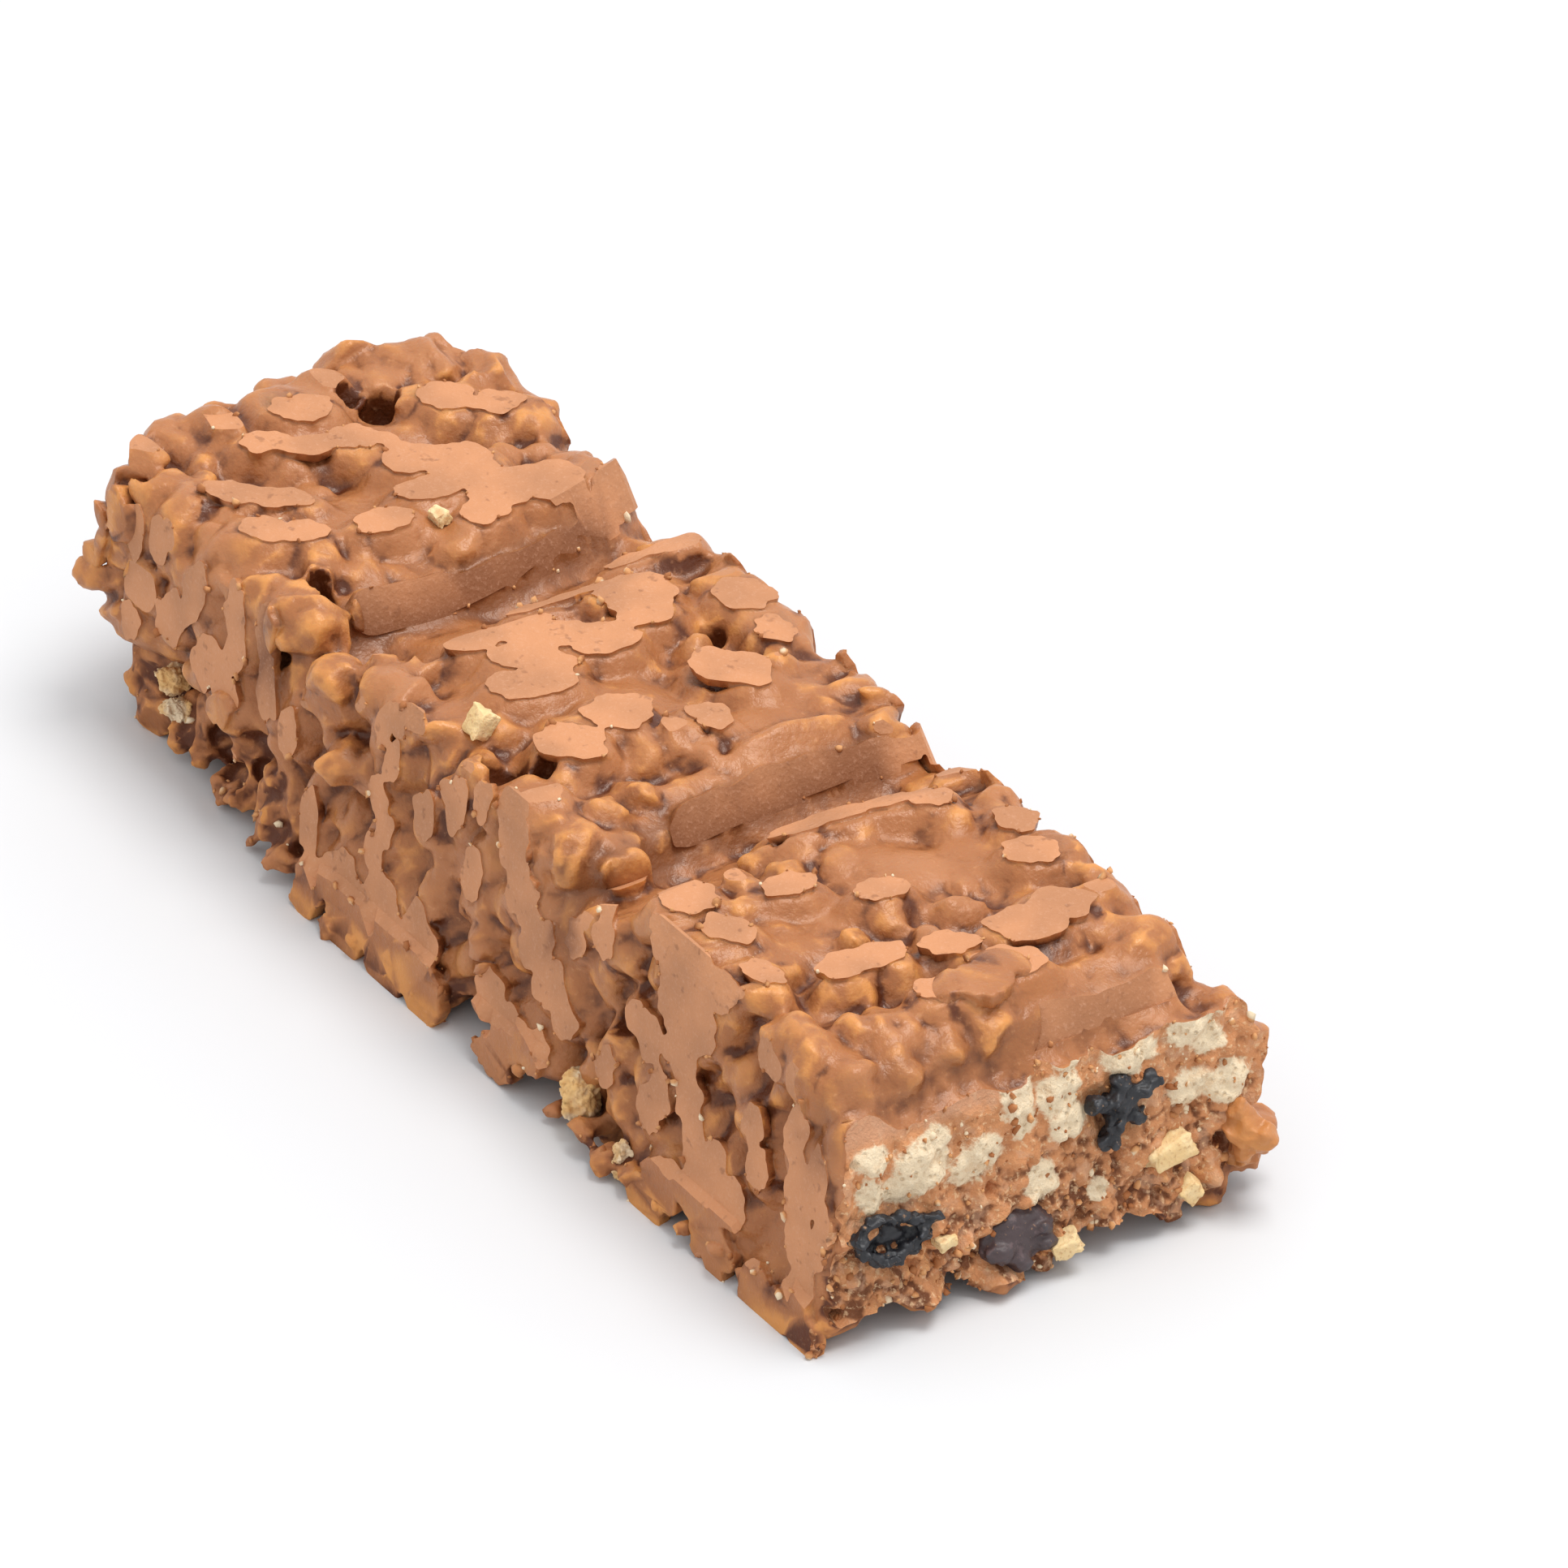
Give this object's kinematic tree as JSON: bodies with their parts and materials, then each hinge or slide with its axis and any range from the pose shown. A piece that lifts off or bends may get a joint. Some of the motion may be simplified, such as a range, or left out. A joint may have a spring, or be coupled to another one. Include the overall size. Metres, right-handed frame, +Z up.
{
  "type": "protein bar",
  "caption": "Snapped length of a moulded milk chocolate bar full of crisped cereal, with raisins showing in its broken face.",
  "frame": {"origin": "middle of the base of the box round the whole piece", "axes": "+X along the bar towards its broken end, +Y across it towards the long side that the picture hides, +Z up from the base to the moulded top"},
  "size_m": [0.0948, 0.0346, 0.0209],
  "materials": {
    "milk_chocolate": "satin",
    "raisin_skin": "satin"
  },
  "bodies": {
    "root": {"bar": "milk_chocolate", "raisin_left": "raisin_skin", "raisin_middle": "raisin_skin", "raisin_right": "raisin_skin"}
  },
  "joints": []
}
